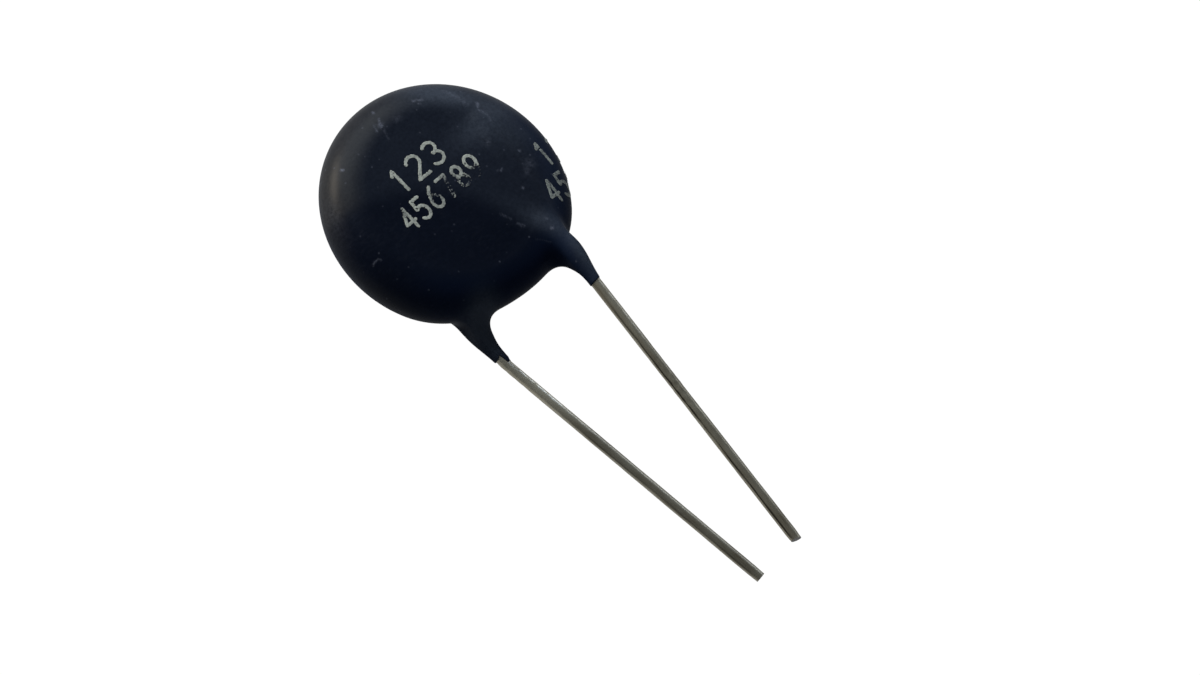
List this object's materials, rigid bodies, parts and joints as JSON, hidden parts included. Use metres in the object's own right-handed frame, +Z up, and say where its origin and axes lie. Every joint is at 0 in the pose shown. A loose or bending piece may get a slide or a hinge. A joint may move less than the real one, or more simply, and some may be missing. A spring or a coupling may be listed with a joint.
{
  "type": "disc thermistor",
  "caption": "Leaded ceramic disc NTC resistor for inrush current: resin-dipped round body with straight tinned wire leads on opposite faces.",
  "frame": {"origin": "centre of the part's outline on the surface it lies on", "axes": "+Z up, towards the component's front face as it lies on its rear face; the leads point towards -Y; +X is to the right seen from the front with the leads down"},
  "size_m": [0.0224, 0.0538, 0.0069],
  "materials": {
    "coating": "satin navy-black dipped resin, faintly scuffed",
    "ceramic": "sintered dark grey metal-oxide ceramic, unseen inside",
    "electrode": "fired matt silver, unseen inside",
    "solder": "dull solder, unseen inside",
    "tinned_copper": "dull tin plating with fine drawn streaks and small nicks"
  },
  "bodies": {
    "root": {"resin_coating": "coating", "ceramic_disc": "ceramic", "front_electrode": "electrode", "rear_electrode": "electrode", "front_solder": "solder", "rear_solder": "solder", "front_lead": "tinned_copper", "rear_lead": "tinned_copper"}
  },
  "joints": []
}
